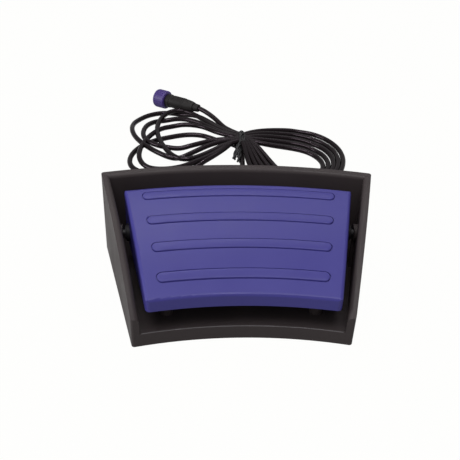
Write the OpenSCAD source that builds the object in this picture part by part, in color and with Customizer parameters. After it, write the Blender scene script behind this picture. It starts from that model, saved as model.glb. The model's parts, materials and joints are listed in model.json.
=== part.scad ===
// Industrial foot switch: a moulded tray in the shape of a ring sector, with a sprung
// treadle pedal hinged between its guard walls, a snap switch under the pedal, and a
// cord with a round coupling connector, wound into a tied hank behind the tray.
// Units are millimetres. Z is up, the front edge is towards -Y, the feet stand on Z = 0.

/* [Tray] */
// Chord across the two back corners of the tray
body_w = 240; // [200:1:280]
// Outer radius of the curved back wall
back_r = 530; // [450:5:620]
// Tray depth, measured along a radius
body_depth = 138; // [125:1:155]
// Height of the back rim above the floor
back_h = 82; // [74:1:95]
// Height of the side walls at their front ends
side_front_h = 30.5; // [24:0.5:40]
// Radius of the arc along the top of each side wall
side_arc_r = 224; // [180:2:300]
// Thickness of the guard walls
wall_t = 6.5; // [5:0.5:8]
// Rounding of the upright outer corners
corner_r = 2.5; // [1:0.5:5]
// Rounding along the inner top edges of the walls
rim_r = 4; // [2:0.5:5]
// Height of the deck's top face
deck_top = 12.3; // [11:0.1:16]
// Thickness of the deck
deck_t = 2.7; // [2:0.1:4]
// Height of the bead along the front edge of the deck
bead_h = 1.2; // [0.6:0.1:2.5]
// Width of that bead
bead_w = 3; // [2:0.5:5]

/* [Underside] */
// Thickness of the base skirt round the hollow underside
skirt_t = 3; // [2:0.5:5]
// How far the tray's lower edge is above the floor
lift = 1.5; // [1:0.1:3]
// Thickness of the bottom cover
cover_t = 3; // [2.5:0.5:4]
// Gap between the cover's edge and the skirt
cover_gap = 0.3; // [0.1:0.1:0.8]
// Radius of the rubber feet
foot_r = 9; // [6:1:12]
// Depth of the recess that each foot sits in
foot_recess = 0.8; // [0.4:0.1:1.2]

/* [Pedal] */
// Gap between the back wall's outer face and the pedal's back face
pedal_back_gap = 25; // [22:0.5:30]
// Pedal length, measured along a radius
pedal_depth = 112.5; // [100:0.5:118]
// Angle from the centre line to each side of the pedal, in degrees
pedal_a = 11.3; // [10.5:0.1:11.5]
// Height of the pedal's lower edge above the floor
pedal_low = 36; // [33:0.5:40]
// Height of the pedal top at its back edge
pedal_high = 78.2; // [72:0.2:80]
// Radius of the curve of the pedal top, front to back
pedal_arc_r = 526; // [400:2:900]
// How far behind the back wall's outer face the centre of that curve is
pedal_arc_back = 56; // [20:1:90]
// Wall thickness of the pedal moulding
pedal_t = 2.8; // [2:0.1:4]
// Rounding of the pedal's top edges
pedal_edge = 3; // [1.5:0.5:4]
// Rounding of the pedal's upright corners
pedal_corner = 4; // [2:0.5:6]
// Grip recesses: depth of the first one's centre line from the back wall's outer face
groove_start = 36.1; // [34:0.1:40]
// Spacing of the grip recesses
groove_pitch = 27.7; // [24:0.1:29]
// Width of each grip recess
groove_w = 9.6; // [6:0.2:12]
// Depth of each grip recess
groove_d = 1; // [0.5:0.1:1.5]
// Angle from the centre line to the rounded end of each recess
groove_a = 9.7; // [8:0.1:10]
// How many recesses there are
groove_n = 4; // [2:1:4]

/* [Hinge] */
// Hinge axis: distance in front of the back wall's outer face at the side walls
hinge_depth = 46; // [42:0.5:52]
// Hinge axis height
hinge_z = 50; // [46:0.5:54]
// Radius of the hinge pins
pin_r = 2.5; // [2:0.25:3]
// Running clearance between pin and bushing, on the radius
pin_play = 0.05; // [0.02:0.01:0.1]
// Wall of the hinge bushings
bush_t = 2; // [1.5:0.25:2.5]
// Distance of the pedal's hinge bosses from the centre line
boss_x = 95.8; // [95.6:0.1:97]
// Length of the pedal's hinge bosses
boss_len = 16; // [12:0.5:20]

/* [Switch] */
// Snap switch body length
sw_l = 27.8; // [27:0.1:29]
// Snap switch body height
sw_h = 15.9; // [15:0.1:17]
// Snap switch body width
sw_w = 10.3; // [10:0.1:11]
// Height of the snap switch's lower face
sw_z = 21.6; // [21:0.1:24]
// Lever pivot to the point where the actuator screw presses
lever_reach = 22; // [18:0.5:24]
// Angle of the lever above level when the pedal is up
lever_tilt = 14; // [12:0.5:16]
// Actuator screw radius
act_r = 2; // [1.5:0.25:2.5]
// Thickness of the switch bracket's plate
plate_t = 1.5; // [1:0.25:2]

/* [Springs and stops] */
// Distance of each return spring from the centre line
spring_x = 44; // [36:1:56]
// Mean coil radius of the return springs
spring_r = 5.5; // [4:0.25:7]
// Wire radius of the return springs
wire_r = 0.65; // [0.5:0.05:0.9]
// Turns of each return spring
spring_turns = 6; // [4:1:9]
// Distance of each down-stop from the centre line
stop_x = 62; // [56:1:68]
// Clearance under the pedal's stop posts
stop_travel = 6.6; // [6.4:0.1:8]
// Distance of each rest pad from the centre line
rest_x = 58; // [40:1:66]

/* [Cord] */
// Cord outer diameter
cord_d = 5; // [4:0.1:7]
// Height of the cord entry above the floor
entry_z = 22; // [21:0.5:26]
// Length of the flexible strain relief behind the gland
relief_len = 30; // [20:1:45]
// Height of the wound hank
hank_h = 15; // [12:0.5:20]
// Diameter of the connector's coupling nut
nut_d = 23; // [18:0.5:28]
// Length of the coupling nut
nut_len = 16; // [12:0.5:20]
// Diameter of the connector's grip
grip_d = 16; // [12:0.5:20]
// Length of the connector's grip
grip_len = 46; // [36:1:56]

/* [Hidden] */
$fn = 48;
fine = 360;
eps = 0.5;
half_a = asin(body_w/2/back_r);
front_r = back_r - body_depth;
// centre of all the arcs is on Y = -centre_y, so that the origin is midway along the depth
centre_y = (back_r + front_r*cos(half_a) + corner_r*(sin(half_a) + cos(half_a) - 1))/2;
back_y = back_r - centre_y;
deck_low = deck_top - deck_t;
cover_top = lift + cover_t;

// side wall arc: through the back rim and the front end of the wall, in depth and height
chord_x = body_depth;
chord_z = back_h - side_front_h;
chord_l = sqrt(chord_x*chord_x + chord_z*chord_z);
drop = sqrt(side_arc_r*side_arc_r - chord_l*chord_l/4);
arc_depth = chord_x/2 - drop*chord_z/chord_l;
arc_z = (back_h + side_front_h)/2 - drop*chord_x/chord_l;

// pedal
pedal_r1 = back_r - pedal_back_gap;
pedal_r0 = pedal_r1 - pedal_depth;
top_r = back_r + pedal_arc_back;
top_z = pedal_high - sqrt(pedal_arc_r*pedal_arc_r - pow(top_r - pedal_r1, 2));
function pedal_z(r) = top_z + sqrt(pedal_arc_r*pedal_arc_r - pow(top_r - r, 2));
function radius_at(x, y) = sqrt(x*x + pow(y + centre_y, 2));

// hinge
hinge_y = (back_r - hinge_depth)*cos(half_a) - centre_y;
bush_r = pin_r + pin_play + bush_t;
wall_x = (hinge_y + centre_y)*tan(half_a);
stub_x = boss_x + 3.7;

// switch
lever_y = -8.8;
press_y = lever_y - lever_reach;
sw_back = lever_y + 2.8;
sw_front = sw_back - sw_l;
sw_top = sw_z + sw_h;
pivot_z = sw_top + 1.6;
press_z = pivot_z + lever_reach*tan(lever_tilt) + 0.65;
leaf_t = 0.5;
plunger_y = lever_y - 6;
hole_a = [sw_front + 2.8, sw_z + 13.1 - 1];
hole_b = [sw_front + 25, sw_z + 2.8];

// springs and stops
spring_y = -25;
stop_y = -44;
post_z = pedal_low - 2;
stop_top = post_z - stop_travel;
rest_y = sqrt(pow(pedal_r1 - pedal_t/2 - 0.2, 2) - rest_x*rest_x) - centre_y;
seat_z = deck_top + 0.8;
spring_top = 46;

// cord entry
spot = 0.5;
gland_y = back_y - spot;
gland_len = 5;
tail_r = cord_d/2;
clamp_y = 33;

// connector: from the tail end to the open end of the coupling nut
con_tail = [-29.5, 313.5, 14.9];
con_a = 145.6;
con_tilt = 3.1;

module at_arc() { translate([0, -centre_y, 0]) children(); }

// frame of a side wall: its outer face is x = 0, y is the radius
module side_frame(s, a) {
  at_arc() mirror([s < 0 ? 1 : 0, 0, 0]) rotate([0, 0, -a]) children();
}

module wedge(a, shift, z0, z1) {
  far = 2*back_r;
  translate([0, shift - centre_y, z0]) linear_extrude(z1 - z0)
    polygon([[0, 0], [far*tan(a), far], [-far*tan(a), far]]);
}

module ring(r0, r1, z0, z1) {
  at_arc() translate([0, 0, z0]) difference() {
    cylinder(r = r1, h = z1 - z0, $fn = fine);
    translate([0, 0, -1]) cylinder(r = r0, h = z1 - z0 + 2, $fn = fine);
  }
}

module sector(r0, r1, z0, z1, a, inset) {
  intersection() {
    ring(r0, r1, z0, z1);
    wedge(a, inset/sin(a), z0, z1);
  }
}

module revolve_arc(a) {
  intersection() {
    at_arc() rotate_extrude($fn = fine) children();
    wedge(a, 0, 0, 100);
  }
}

// ---- tray ----

module wall_section() {
  difference() {
    translate([back_r - wall_t, lift]) square([wall_t, back_h - lift]);
    translate([back_r - wall_t - 1, back_h - rim_r]) square([rim_r + 1, rim_r + 1]);
  }
  translate([back_r - wall_t + rim_r, back_h - rim_r]) intersection() {
    circle(r = rim_r);
    translate([-rim_r, 0]) square([rim_r, rim_r]);
  }
}

// round-edged disc whose rim is the top of the side wall
module side_disc() {
  translate([0, back_r - arc_depth, arc_z]) rotate([0, -90, 0]) rotate_extrude($fn = fine) {
    square([side_arc_r, wall_t - rim_r]);
    square([side_arc_r - rim_r, wall_t]);
    translate([side_arc_r - rim_r, wall_t - rim_r]) circle(r = rim_r);
  }
}

module side_wall(s) {
  side_frame(s, half_a) intersection() {
    side_disc();
    translate([-wall_t, front_r - 3, lift])
      cube([wall_t, body_depth + 3 - (wall_t - rim_r)/2, back_h]);
  }
}

module corner_cut(s) {
  side_frame(s, half_a) translate([0, 0, -1]) {
    difference() {
      translate([-corner_r, back_r - corner_r, 0]) cube([corner_r + 2, corner_r + 2, back_h + 9]);
      translate([-corner_r, back_r - corner_r, -1]) cylinder(r = corner_r, h = back_h + 11);
    }
    difference() {
      translate([-corner_r, front_r - 2, 0]) cube([corner_r + 2, corner_r + 2, back_h + 9]);
      translate([-corner_r, front_r + corner_r, -1]) cylinder(r = corner_r, h = back_h + 11);
    }
  }
}

cover_screws_at = [[-96, 48], [96, 48], [-72, -38], [72, -38], [0, 52], [0, -38]];
feet_at = [[-78, 46], [78, 46], [-58, -42], [58, -42]];

module housing() {
  color([0.11, 0.105, 0.11])
  difference() {
    union() {
      difference() {
        union() {
          sector(front_r, back_r, lift, deck_top, half_a, 0);
          revolve_arc(half_a) wall_section();
          for (s = [-1, 1]) side_wall(s);
          // bead along the front edge
          sector(front_r, front_r + bead_w, deck_top - 1, deck_top + bead_h, half_a, 1);
        }
        sector(front_r + skirt_t, back_r - skirt_t, lift - 1, deck_low, half_a, skirt_t);
      }
      intersection() {
        sector(front_r + 1, back_r - 1, lift, back_h, half_a, 1);
        union() {
          for (s = [-1, 1]) {
            // hinge stub on the guard wall, with a web down to the deck
            translate([s*stub_x, hinge_y, hinge_z]) rotate([0, s*90, 0]) cylinder(r = 7, h = 12);
            translate([s*stub_x - (s < 0 ? 12 : 0), hinge_y - 1.5, deck_top - 1])
              cube([12, 3, hinge_z - deck_top]);
            // spring seat, down-stop post and rest post
            translate([s*spring_x, spring_y, deck_top - 1]) cylinder(r = spring_r + 3, h = 3.5);
            translate([s*stop_x, stop_y, deck_top - 1])
              cylinder(r = 5.5, h = stop_top - 2.5 - deck_top + 1);
            translate([s*rest_x, rest_y, deck_top - 1])
              cylinder(r = 5.5, h = pedal_low - 3 - deck_top + 1);
          }
          // cord saddle
          translate([-11, clamp_y - 5, deck_top - 1]) cube([22, 10, entry_z - deck_top + 1]);
          // bosses for the cover screws
          for (p = cover_screws_at) translate([p[0], p[1], cover_top])
            cylinder(r = 4, h = deck_low - cover_top + 1);
          // bosses under the switch bracket
          for (y = [-12, -28]) translate([13, y, cover_top])
            cylinder(r = 4, h = deck_low - cover_top + 1);
          // boss behind the cord entry
          translate([0, back_y - wall_t - 1.5, entry_z]) rotate([-90, 0, 0]) cylinder(r = 11, h = 4);
        }
      }
    }
    at_arc() translate([0, 0, -1]) cylinder(r = front_r, h = back_h + 2, $fn = fine);
    for (s = [-1, 1]) {
      corner_cut(s);
      // blind pin hole
      translate([s*(stub_x - 1), hinge_y, hinge_z]) rotate([0, s*90, 0])
        cylinder(r = pin_r, h = wall_x - 2.4 - stub_x + 1);
      // spring pocket
      translate([s*spring_x, spring_y, seat_z]) cylinder(r = spring_r + 1.2, h = 9);
    }
    // cord entry with a flat spot on both faces of the wall
    translate([0, 0, entry_z]) rotate([-90, 0, 0]) cylinder(r = 6.2, h = 200);
    translate([0, gland_y, entry_z]) rotate([-90, 0, 0]) cylinder(r = 10, h = 9);
    translate([0, back_y - wall_t - 10.5, entry_z]) rotate([-90, 0, 0]) cylinder(r = 10, h = 9.5);
    // cord groove and screw holes in the saddle
    translate([0, 0, entry_z]) rotate([-90, 0, 0]) cylinder(r = cord_d/2, h = 60);
    for (s = [-1, 1]) translate([s*7.5, clamp_y, deck_top]) cylinder(r = 1.25, h = 40);
    for (p = cover_screws_at) translate([p[0], p[1], lift]) cylinder(r = 1.25, h = 9.3);
    for (y = [-12, -28]) translate([13, y, cover_top + 1]) cylinder(r = 1.5, h = 40);
  }
}

// ---- underside ----

module bottom_cover() {
  color([0.13, 0.13, 0.135])
  difference() {
    sector(front_r + skirt_t + cover_gap, back_r - skirt_t - cover_gap, lift, cover_top,
           half_a, skirt_t + cover_gap);
    for (p = cover_screws_at) translate([p[0], p[1], 0]) {
      cylinder(r = 1.6, h = 20);
      cylinder(r = 3.4, h = lift + 1.7);
    }
    for (p = feet_at) translate([p[0], p[1], 0]) cylinder(r = foot_r, h = lift + foot_recess);
  }
}

module cover_screws() {
  color([0.6, 0.6, 0.62])
  for (p = cover_screws_at) translate([p[0], p[1], 0]) difference() {
    union() {
      translate([0, 0, lift + 0.2]) cylinder(r = 2.9, h = 1.5);
      translate([0, 0, lift + 1]) cylinder(r = 1.25, h = 8);
    }
    translate([-0.4, -2, 0]) cube([0.8, 4, lift + 0.9]);
    translate([-2, -0.4, 0]) cube([4, 0.8, lift + 0.9]);
  }
}

module rubber_feet() {
  color([0.07, 0.07, 0.07])
  for (p = feet_at) translate([p[0], p[1], 0]) difference() {
    union() {
      cylinder(r1 = foot_r - 0.6, r2 = foot_r, h = 0.6);
      translate([0, 0, 0.6]) cylinder(r = foot_r, h = lift + foot_recess - 0.6);
    }
    translate([0, 0, -1]) cylinder(r = 2.5, h = 1.6);
  }
}

// ---- hinge ----

module hinge_pins() {
  color([0.75, 0.76, 0.78])
  for (s = [-1, 1]) translate([s*(boss_x - boss_len - 4), hinge_y, hinge_z]) rotate([0, s*90, 0])
    difference() {
      cylinder(r = pin_r, h = wall_x - 2.4 - (boss_x - boss_len - 4));
      // groove for the clip
      translate([0, 0, 2]) difference() {
        cylinder(r = pin_r + 1, h = 0.9);
        translate([0, 0, -1]) cylinder(r = pin_r - 0.6, h = 3);
      }
    }
}

module pin_clips() {
  color([0.35, 0.35, 0.37])
  for (s = [-1, 1]) translate([s*(boss_x - boss_len - 2), hinge_y, hinge_z]) rotate([0, s*90, 0])
    difference() {
      cylinder(r = pin_r + 2.4, h = 0.9);
      translate([0, 0, -1]) cylinder(r = pin_r - 0.6, h = 3);
      translate([-1.2, -9, -1]) cube([2.4, 9, 3]);
    }
}

module hinge_bushings() {
  color([0.88, 0.87, 0.82])
  for (s = [-1, 1]) translate([s*(boss_x - boss_len), hinge_y, hinge_z]) rotate([0, s*90, 0])
    difference() {
      union() {
        cylinder(r = bush_r, h = boss_len + 1);
        translate([0, 0, boss_len]) cylinder(r = bush_r + 1.8, h = 1.2);
      }
      translate([0, 0, -1]) cylinder(r = pin_r + pin_play, h = boss_len + 5);
    }
}

// ---- pedal ----

// section of the pedal, smaller by t on every face but the lower one
module pedal_section(t, e, low) {
  ra = pedal_r0 + t;
  rb = pedal_r1 - t;
  rr = pedal_arc_r - t;
  fa = [ra + e, top_z + sqrt(pow(rr - e, 2) - pow(top_r - ra - e, 2))];
  fb = [rb - e, top_z + sqrt(pow(rr - e, 2) - pow(top_r - rb + e, 2))];
  ua = [fa[0] - top_r, fa[1] - top_z]/(rr - e);
  ub = [fb[0] - top_r, fb[1] - top_z]/(rr - e);
  difference() {
    intersection() {
      translate([ra, low]) square([rb - ra, 90]);
      translate([top_r, top_z]) circle(r = rr, $fn = fine*2);
    }
    polygon([fa, fa + ua*(e + 3), [ra - 4, fa[1] + 6], [ra - 4, fa[1]]]);
    polygon([fb, fb + ub*(e + 3), [rb + 4, fb[1] + 6], [rb + 4, fb[1]]]);
  }
  translate(fa) circle(r = e);
  translate(fb) circle(r = e);
}

module pedal_solid(t, e, low) {
  intersection() {
    revolve_arc(half_a) pedal_section(t, e, low);
    wedge(pedal_a, t/sin(pedal_a), 0, 100);
  }
}

module pedal_side_cut(s) {
  side_frame(s, pedal_a) {
    translate([0, top_r, top_z]) rotate([0, -90, 0]) rotate_extrude($fn = fine) difference() {
      translate([pedal_arc_r - pedal_edge, -1]) square([pedal_edge + 2, pedal_edge + 1]);
      translate([pedal_arc_r - pedal_edge, pedal_edge]) circle(r = pedal_edge);
    }
    difference() {
      translate([-pedal_corner, pedal_r1 - pedal_corner, 0]) cube([pedal_corner + 2, pedal_corner + 2, 100]);
      translate([-pedal_corner, pedal_r1 - pedal_corner, -1]) cylinder(r = pedal_corner, h = 102);
    }
    difference() {
      translate([-pedal_corner, pedal_r0 - 2, 0]) cube([pedal_corner + 2, pedal_corner + 2, 100]);
      translate([-pedal_corner, pedal_r0 + pedal_corner, -1]) cylinder(r = pedal_corner, h = 102);
    }
  }
}

module groove_plan(i) {
  r = back_r - groove_start - i*groove_pitch;
  a = groove_a - asin(groove_w/2/r);
  at_arc() rotate([0, 0, 90 - a]) rotate_extrude(angle = 2*a, $fn = fine)
    translate([r - groove_w/2, 30]) square([groove_w, 60]);
  for (s = [-1, 1]) at_arc() rotate([0, 0, -s*a]) translate([0, r, 30])
    cylinder(r = groove_w/2, h = 60);
}

module pedal() {
  color([0.16, 0.14, 0.55])
  difference() {
    union() {
      difference() {
        pedal_solid(0, pedal_edge, pedal_low);
        for (s = [-1, 1]) pedal_side_cut(s);
        difference() {
          union() { for (i = [0:groove_n - 1]) groove_plan(i); }
          pedal_solid(groove_d, pedal_edge, 20);
        }
        pedal_solid(pedal_t, 1, 20);
      }
      // ribs and bosses inside the shell
      intersection() {
        pedal_solid(pedal_t*0.55, 1, post_z);
        union() {
          for (s = [-1, 1]) {
            translate([s*(boss_x - boss_len), hinge_y, hinge_z]) rotate([0, s*90, 0])
              cylinder(r = bush_r + 2.6, h = boss_len);
            translate([s*(boss_x - boss_len + 1.2) - 1.2, hinge_y - 4, hinge_z + bush_r + 1])
              cube([2.4, 8, 40]);
            translate([s*(boss_x - boss_len/2) - 1.5, hinge_y - 1.5, hinge_z + bush_r + 1])
              cube([3, 3, 40]);
            translate([s*stop_x, stop_y, post_z]) cylinder(r = 4, h = 40);
            translate([s*spring_x, spring_y, spring_top - 3]) cylinder(r = spring_r + 3, h = 40);
            // long ribs
            translate([s*26 - 1, -60, pedal_low + 14]) cube([2, 104, 40]);
            translate([s*74 - 1, -52, pedal_low + 12]) cube([2, 88, 40]);
          }
          // actuator boss and its cross rib
          translate([0, press_y, press_z + 5]) cylinder(r = 5, h = 40);
          translate([-27, press_y - 1, press_z + 9]) cube([54, 2, 40]);
          translate([-80, 22, 55]) cube([160, 2, 40]);
        }
      }
      // outer ends of the hinge bosses
      for (s = [-1, 1]) translate([s*(boss_x - 5), hinge_y, hinge_z]) rotate([0, s*90, 0])
        cylinder(r = bush_r + 2.6, h = 5);
    }
    for (s = [-1, 1]) {
      translate([s*(boss_x - boss_len - 1), hinge_y, hinge_z]) rotate([0, s*90, 0])
        cylinder(r = bush_r, h = boss_len + 5);
      translate([s*spring_x, spring_y, spring_top - 9]) cylinder(r = spring_r + 1.2, h = 9);
    }
    translate([0, press_y, press_z - 1]) cylinder(r = act_r, h = 12);
  }
}

// ---- actuator ----

module actuator_screw() {
  color([0.72, 0.72, 0.74])
  translate([0, press_y, press_z]) {
    translate([0, 0, act_r]) cylinder(r = act_r, h = 11 - act_r);
    intersection() {
      translate([0, 0, act_r]) sphere(r = act_r);
      cylinder(r = 9, h = act_r);
    }
  }
}

module actuator_locknut() {
  color([0.7, 0.7, 0.72])
  translate([0, press_y, press_z + 1.8]) difference() {
    cylinder(r = 4.04, h = 3.2, $fn = 6);
    translate([0, 0, -1]) cylinder(r = act_r, h = 9);
  }
}

// ---- snap switch ----

module switch_case() {
  color([0.09, 0.09, 0.1])
  difference() {
    union() {
      translate([-sw_w/2, sw_front, sw_z]) cube([sw_w, sw_l, sw_h]);
      // ears for the lever pin
      for (s = [-1, 1]) hull() {
        translate([s*3.5 - 0.8, lever_y, pivot_z]) rotate([0, 90, 0]) cylinder(r = 1.6, h = 1.6);
        translate([s*3.5 - 0.8, lever_y - 2.4, sw_top - 1]) cube([1.6, 4.8, 1]);
      }
    }
    translate([-6, lever_y, pivot_z]) rotate([0, 90, 0]) cylinder(r = 0.8, h = 12);
    translate([0, plunger_y, sw_top - 4]) cylinder(r = 1.5, h = 9);
    for (p = [hole_a, hole_b]) translate([-9, p[0], p[1]]) rotate([0, 90, 0]) cylinder(r = 1.5, h = 20);
    for (y = blades_at) translate([-2.4, y - 0.4, sw_z - 1]) cube([4.8, 0.8, 4]);
  }
}

blades_at = [sw_front + 3.3, sw_front + 12.1, sw_front + 21.6];

module lever_pin() {
  color([0.8, 0.8, 0.82])
  translate([-sw_w/2 + 0.85, lever_y, pivot_z]) rotate([0, 90, 0]) cylinder(r = 0.8, h = sw_w - 1.7);
}

module switch_lever() {
  color([0.78, 0.78, 0.8])
  translate([0, lever_y, pivot_z]) rotate([-lever_tilt, 0, 0]) {
    difference() {
      union() {
        translate([-2.5, 0, 0]) rotate([0, 90, 0]) cylinder(r = 1.4, h = 5);
        translate([-2.5, -lever_reach - 3, 0]) cube([5, lever_reach + 3, leaf_t]);
      }
      translate([-4, 0, 0]) rotate([0, 90, 0]) cylinder(r = 0.85, h = 8);
    }
    translate([-2.5, -lever_reach - 3, leaf_t - 0.9]) rotate([0, 90, 0]) difference() {
      cylinder(r = 0.9, h = 5);
      translate([0, 0, -1]) cylinder(r = 0.4, h = 7);
    }
  }
}

plunger_top = pivot_z + 6*tan(lever_tilt) - 0.15;

module switch_plunger() {
  color([0.75, 0.2, 0.18])
  translate([0, plunger_y, sw_top - 2]) {
    cylinder(r = 1.45, h = plunger_top - sw_top + 2 - 0.8);
    translate([0, 0, plunger_top - sw_top + 2 - 1]) cylinder(r1 = 1.45, r2 = 0.7, h = 0.8);
  }
}

module switch_terminals() {
  color([0.8, 0.7, 0.4])
  for (y = blades_at) translate([-2.4, y - 0.4, sw_z - 6]) difference() {
    cube([4.8, 0.8, 9]);
    translate([2.4, -1, 1.6]) rotate([-90, 0, 0]) cylinder(r = 0.6, h = 3);
  }
}

module crimp_receptacles() {
  color([0.85, 0.85, 0.86])
  for (y = blades_at) difference() {
    translate([-3, y - 1.2, sw_z - 6.6]) cube([6, 2.4, 5]);
    translate([-2.4, y - 0.4, sw_z - 6]) cube([4.8, 0.8, 9]);
  }
}

module switch_bracket() {
  color([0.68, 0.69, 0.71])
  difference() {
    union() {
      translate([sw_w/2, sw_front, deck_top]) cube([plate_t, sw_l, sw_top - 0.5 - deck_top]);
      translate([sw_w/2, sw_front, deck_top]) cube([14, sw_l, plate_t]);
    }
    for (p = [hole_a, hole_b]) translate([-9, p[0], p[1]]) rotate([0, 90, 0]) cylinder(r = 1.5, h = 30);
    for (y = [-12, -28]) translate([13, y, deck_top - 1]) cylinder(r = 1.5, h = 5);
  }
}

module bracket_screws() {
  color([0.6, 0.6, 0.62])
  for (y = [-12, -28]) translate([13, y, 0]) difference() {
    union() {
      translate([0, 0, deck_top + plate_t]) cylinder(r = 2.8, h = 2);
      translate([0, 0, cover_top + 1.2]) cylinder(r = 1.5, h = deck_top + plate_t - cover_top);
    }
    translate([-0.4, -2, deck_top + plate_t + 1]) cube([0.8, 4, 2]);
    translate([-2, -0.4, deck_top + plate_t + 1]) cube([4, 0.8, 2]);
  }
}

module switch_screws() {
  color([0.6, 0.6, 0.62])
  for (p = [hole_a, hole_b]) translate([-sw_w/2, p[0], p[1]]) rotate([0, 90, 0]) difference() {
    union() {
      translate([0, 0, -2]) cylinder(r = 2.75, h = 2);
      translate([0, 0, -1]) cylinder(r = 1.5, h = sw_w + plate_t + 4.2);
    }
    translate([-0.4, -2, -3]) cube([0.8, 4, 2]);
  }
}

module switch_nuts() {
  color([0.66, 0.66, 0.68])
  for (p = [hole_a, hole_b]) translate([sw_w/2 + plate_t, p[0], p[1]]) rotate([0, 90, 0]) difference() {
    cylinder(r = 3.18, h = 2.4, $fn = 6);
    translate([0, 0, -1]) cylinder(r = 1.5, h = 5);
  }
}

// ---- springs and stops ----

module sweep(p, r, n) {
  m = len(p);
  t = [for (i = [0:m - 1]) let (d = p[min(i + 1, m - 1)] - p[max(i - 1, 0)]) d/norm(d)];
  pts = [for (i = [0:m - 1])
    let (s0 = cross(t[i], [0, 0, 1]), s = norm(s0) < 0.05 ? [1, 0, 0] : s0/norm(s0), u = cross(s, t[i]))
    for (j = [0:n - 1]) p[i] + r*(cos(360*j/n)*s + sin(360*j/n)*u)];
  polyhedron(pts, concat(
    [[for (j = [0:n - 1]) j]],
    [for (i = [0:m - 2]) for (j = [0:n - 1])
      [i*n + j, (i + 1)*n + j, (i + 1)*n + (j + 1) % n, i*n + (j + 1) % n]],
    [[for (j = [0:n - 1]) m*n - 1 - j]]));
}

coil_steps = 14;

module coil(h) {
  n = coil_steps*spring_turns;
  sweep([for (i = [0:n])
    let (a = 360*i/coil_steps, t = i/n,
         z = wire_r + (h - 2*wire_r)*(t < 0.12 ? t*0.45 : t > 0.88 ? 1 - (1 - t)*0.45
             : 0.054 + (t - 0.12)/0.76*0.892))
    [spring_r*cos(a), spring_r*sin(a), z]], wire_r, 6);
}

module return_springs() {
  color([0.78, 0.79, 0.8])
  for (s = [-1, 1]) translate([s*spring_x, spring_y, seat_z]) coil(spring_top - seat_z);
}

module stop_bumpers() {
  color([0.08, 0.08, 0.08])
  for (s = [-1, 1]) translate([s*stop_x, stop_y, stop_top - 2.5]) {
    cylinder(r = 4.5, h = 2);
    translate([0, 0, 2]) cylinder(r1 = 4.5, r2 = 4, h = 0.5);
  }
}

module rest_pads() {
  color([0.08, 0.08, 0.08])
  for (s = [-1, 1]) translate([s*rest_x, rest_y, pedal_low - 3]) cylinder(r = 4.5, h = 3);
}

// ---- cord entry ----

module hex(af, h) { cylinder(r = af/2/cos(30), h = h, $fn = 6); }

module cable_gland() {
  color([0.1, 0.1, 0.1])
  translate([0, gland_y, entry_z]) rotate([-90, 0, 0]) difference() {
    union() {
      hex(16, gland_len);
      translate([0, 0, -wall_t - 5]) cylinder(r = 6.2, h = wall_t + 6);
    }
    translate([0, 0, -40]) cylinder(r = cord_d/2, h = 80);
  }
}

module gland_nut() {
  color([0.12, 0.12, 0.12])
  translate([0, back_y - wall_t - 1 - 3.5, entry_z]) rotate([-90, 0, 0]) difference() {
    hex(16.5, 3.5);
    translate([0, 0, -1]) cylinder(r = 6.2, h = 9);
  }
}

module strain_relief() {
  color([0.09, 0.09, 0.09])
  translate([0, gland_y + gland_len, entry_z]) rotate([-90, 0, 0]) difference() {
    cylinder(r1 = 6, r2 = cord_d/2 + 0.9, h = relief_len);
    translate([0, 0, -1]) cylinder(r = cord_d/2, h = relief_len + 2);
    for (i = [0:5]) translate([0, 0, 4 + i*4]) difference() {
      cylinder(r = 8, h = 1.6);
      translate([0, 0, -1]) cylinder(r = 4.9 - i*0.33, h = 4);
    }
  }
}

module inner_cable() {
  color([0.07, 0.07, 0.075])
  translate([0, clamp_y - 11, entry_z]) rotate([-90, 0, 0])
    cylinder(r = cord_d/2, h = gland_y - clamp_y + 11);
}

module cable_clamp() {
  color([0.7, 0.71, 0.73])
  difference() {
    union() {
      translate([-11, clamp_y - 4, entry_z]) cube([22, 8, 1.6]);
      translate([0, clamp_y - 4, entry_z]) rotate([-90, 0, 0]) cylinder(r = cord_d/2 + 1.4, h = 8);
    }
    translate([-12, clamp_y - 6, entry_z - 9]) cube([24, 12, 9]);
    translate([0, clamp_y - 6, entry_z]) rotate([-90, 0, 0]) cylinder(r = cord_d/2, h = 12);
    for (s = [-1, 1]) translate([s*7.5, clamp_y, entry_z - 1]) cylinder(r = 1.6, h = 5);
  }
}

module clamp_screws() {
  color([0.6, 0.6, 0.62])
  for (s = [-1, 1]) translate([s*7.5, clamp_y, entry_z + 1.6]) difference() {
    union() {
      cylinder(r = 2.6, h = 1.8);
      translate([0, 0, -8]) cylinder(r = 1.25, h = 9);
    }
    translate([-2, -0.4, 1]) cube([4, 0.8, 2]);
    translate([-0.4, -2, 1]) cube([0.8, 4, 2]);
  }
}

module rod(a, b, r) {
  d = b - a;
  translate(a) rotate([0, 0, atan2(d[1], d[0])]) rotate([0, acos(d[2]/norm(d)), 0])
    cylinder(r = r, h = norm(d), $fn = 16);
}

module lead_wires() {
  color([0.75, 0.55, 0.12])
  for (i = [0:2]) {
    a = [1.25*cos(90 + i*120), clamp_y - 11, entry_z + 1.25*sin(90 + i*120)];
    b = [-11.5 + 2*i, 12, 17];
    c = [-12 + 2*i, blades_at[i] + 2, 16];
    d = [-3, blades_at[i], 16.4];
    rod(a, b, 0.7);
    rod(b, c, 0.7);
    rod(c, d, 0.7);
    translate(b) sphere(r = 0.7, $fn = 16);
    translate(c) sphere(r = 0.7, $fn = 16);
  }
}

// ---- cord ----

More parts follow.
